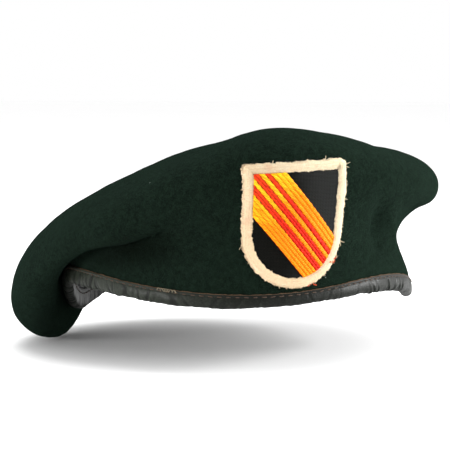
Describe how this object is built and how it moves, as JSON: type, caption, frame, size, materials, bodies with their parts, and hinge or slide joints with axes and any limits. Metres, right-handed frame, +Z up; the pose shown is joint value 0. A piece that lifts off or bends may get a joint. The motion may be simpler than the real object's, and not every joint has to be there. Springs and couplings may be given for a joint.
{
  "type": "beret",
  "caption": "Dark green wool felt beret pulled down over one ear, with black leather edge binding, lining, drawstring and a cloth shield flash with diagonal stripes.",
  "frame": {"origin": "centre of the head opening, level with the lowest point of the binding at the front", "axes": "front faces -Y, +X is the wearer's left, +Z is up out of the wearer's head"},
  "size_m": [0.2153, 0.2307, 0.113],
  "materials": {
    "felt": "dense milled wool felt, matt, dark green",
    "leather": "black dyed leather, creased, semi-gloss",
    "binding_thread": "brown sewing thread",
    "tape": "black woven drawstring tape",
    "lining": "black satin-woven lining cloth",
    "label": "pale woven label, blank",
    "stiffener": "stiff fibre board",
    "flash_ground": "black cotton twill",
    "flash_border": "cream wrapped embroidery thread",
    "flash_yellow": "yellow embroidery thread",
    "flash_red": "red embroidery thread"
  },
  "bodies": {
    "cap": {"crown_body": "felt", "binding": "leather", "binding_stitching": "binding_thread", "drawstring": "tape", "drawstring_knot": "tape", "stiffener": "stiffener", "lining_side": "lining", "lining_tip": "lining", "size_label": "label", "label_stitching": "binding_thread", "flash_ground": "flash_ground", "flash_border": "flash_border", "bar_yellow_lower": "flash_yellow", "bar_red_lower": "flash_red", "bar_yellow_mid_lower": "flash_yellow", "bar_red_middle": "flash_red", "bar_yellow_mid_upper": "flash_yellow", "bar_red_upper": "flash_red", "bar_yellow_upper": "flash_yellow", "flash_stitching": "flash_border"},
    "drape": {"crown_drape": "felt"}
  },
  "joints": [
    {"name": "drape_lift", "type": "hinge", "parent": "cap", "child": "drape", "pos_m": [-0.093, 0, 0.0325], "axis": [0, 1, 0], "range_deg": [0, 40]}
  ]
}
